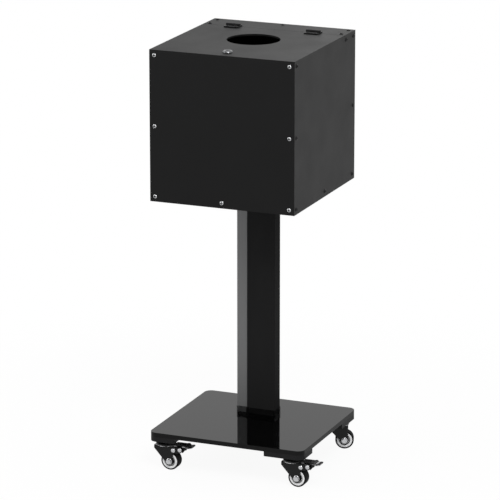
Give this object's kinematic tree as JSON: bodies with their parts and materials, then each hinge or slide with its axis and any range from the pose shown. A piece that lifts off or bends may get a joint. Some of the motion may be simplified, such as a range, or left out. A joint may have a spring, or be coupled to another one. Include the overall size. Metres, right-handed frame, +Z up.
{
  "type": "raffle box",
  "caption": "A matte black box with a hinged, locking lid and a round hand hole, carried on a post over a glossy base plate that rolls on swivel casters with brake pedals.",
  "frame": {"origin": "The middle of the whole object's outline seen from above, on the floor under the wheels; the post stands 21.0 mm to the left of it because the brake pedals reach out to the right.", "axes": "+Z up; -Y is the front, where the lock is; +X is the right-hand side seen from the front, to which the brake pedals point."},
  "size_m": [0.478, 0.4352, 1.1483],
  "materials": {
    "black_panel": "matte black sheet with a fine grain",
    "black_block": "matte black machined plastic",
    "steel_screw": "bright zinc-plated steel",
    "black_screw": "black oxide steel",
    "hinge_black": "black powder coat",
    "lock_chrome": "polished chrome plate",
    "post_black": "satin black powder coat",
    "profile_grey": "satin grey coat",
    "collar_smoke": "smoke-tinted clear plastic",
    "base_gloss": "polished black, mirror-like",
    "caster_black": "black coated pressed steel",
    "rim_silver": "silver-grey moulded wheel body",
    "tyre_black": "matte black rubber",
    "bolt_chrome": "bright plated steel"
  },
  "bodies": {
    "stand": {"front_panel": "black_panel", "rear_panel": "black_panel", "left_panel": "black_panel", "right_panel": "black_panel", "floor_panel": "black_panel", "rear_top_strip": "black_panel", "corner_blocks": "black_block", "edge_blocks": "black_block", "front_panel_screws": "steel_screw", "rear_panel_screws": "steel_screw", "side_panel_screws": "black_screw", "top_strip_screws": "black_screw", "floor_panel_screws": "black_screw", "lock_strike": "lock_chrome", "strike_screws": "steel_screw", "hinge_fixed_leaves": "hinge_black", "hinge_pins": "steel_screw", "hinge_fixed_screws": "black_screw", "post_tube": "post_black", "post_side_profile": "profile_grey", "side_profile_screws": "steel_screw", "post_head_plate": "post_black", "post_head_bolts": "black_screw", "post_foot_plug": "black_block", "post_foot_collar": "collar_smoke", "post_under_plate": "post_black", "post_foot_bolts": "black_screw", "base_plate": "base_gloss", "base_blocks": "black_block", "base_block_screws": "black_screw", "caster_plates": "caster_black", "caster_plate_screws": "black_screw"},
    "lid": {"lid_panel": "black_panel", "hinge_lid_leaves": "hinge_black", "hinge_lid_screws": "black_screw", "lock_housing": "lock_chrome", "lock_nut": "lock_chrome"},
    "lock": {"lock_plug": "lock_chrome", "lock_cam": "lock_chrome", "cam_screw": "lock_chrome"},
    "fork_front_left": {"caster_fork_front_left": "caster_black", "axle_bolt_front_left": "bolt_chrome", "brake_pins_front_left": "bolt_chrome"},
    "wheel_front_left": {"wheel_rim_front_left": "rim_silver", "tyre_front_left": "tyre_black"},
    "pedal_front_left": {"brake_pedal_front_left": "caster_black"},
    "fork_front_right": {"caster_fork_front_right": "caster_black", "axle_bolt_front_right": "bolt_chrome", "brake_pins_front_right": "bolt_chrome"},
    "wheel_front_right": {"wheel_rim_front_right": "rim_silver", "tyre_front_right": "tyre_black"},
    "pedal_front_right": {"brake_pedal_front_right": "caster_black"},
    "fork_rear_left": {"caster_fork_rear_left": "caster_black", "axle_bolt_rear_left": "bolt_chrome"},
    "wheel_rear_left": {"wheel_rim_rear_left": "rim_silver", "tyre_rear_left": "tyre_black"},
    "fork_rear_right": {"caster_fork_rear_right": "caster_black", "axle_bolt_rear_right": "bolt_chrome"},
    "wheel_rear_right": {"wheel_rim_rear_right": "rim_silver", "tyre_rear_right": "tyre_black"}
  },
  "joints": [
    {"name": "lid_hinge", "type": "hinge", "parent": "stand", "child": "lid", "pos_m": [-0.021, 0.136, 1.1443], "axis": [-1, 0, 0], "range_deg": [0, 170]},
    {"name": "lock_turn", "type": "hinge", "parent": "lid", "child": "lock", "pos_m": [-0.021, -0.174, 1.14], "axis": [0, 0, -1], "range_deg": [0, 90]},
    {"name": "swivel_front_left", "type": "hinge", "parent": "stand", "child": "fork_front_left", "pos_m": [-0.202, -0.166, 0.0752], "axis": [0, 0, 1], "continuous": true},
    {"name": "roll_front_left", "type": "hinge", "parent": "fork_front_left", "child": "wheel_front_left", "pos_m": [-0.187, -0.166, 0.025], "axis": [0, 1, 0], "continuous": true},
    {"name": "brake_front_left", "type": "hinge", "parent": "fork_front_left", "child": "pedal_front_left", "pos_m": [-0.176, -0.166, 0.0562], "axis": [0, 1, 0], "range_deg": [0, 20]},
    {"name": "swivel_front_right", "type": "hinge", "parent": "stand", "child": "fork_front_right", "pos_m": [0.16, -0.166, 0.0752], "axis": [0, 0, 1], "continuous": true},
    {"name": "roll_front_right", "type": "hinge", "parent": "fork_front_right", "child": "wheel_front_right", "pos_m": [0.175, -0.166, 0.025], "axis": [0, 1, 0], "continuous": true},
    {"name": "brake_front_right", "type": "hinge", "parent": "fork_front_right", "child": "pedal_front_right", "pos_m": [0.186, -0.166, 0.0562], "axis": [0, 1, 0], "range_deg": [0, 20]},
    {"name": "swivel_rear_left", "type": "hinge", "parent": "stand", "child": "fork_rear_left", "pos_m": [-0.202, 0.166, 0.0752], "axis": [0, 0, 1], "continuous": true},
    {"name": "roll_rear_left", "type": "hinge", "parent": "fork_rear_left", "child": "wheel_rear_left", "pos_m": [-0.187, 0.166, 0.025], "axis": [0, 1, 0], "continuous": true},
    {"name": "swivel_rear_right", "type": "hinge", "parent": "stand", "child": "fork_rear_right", "pos_m": [0.16, 0.166, 0.0752], "axis": [0, 0, 1], "continuous": true},
    {"name": "roll_rear_right", "type": "hinge", "parent": "fork_rear_right", "child": "wheel_rear_right", "pos_m": [0.17409, 0.17113, 0.025], "axis": [-0.342, 0.9397, 0], "continuous": true}
  ]
}
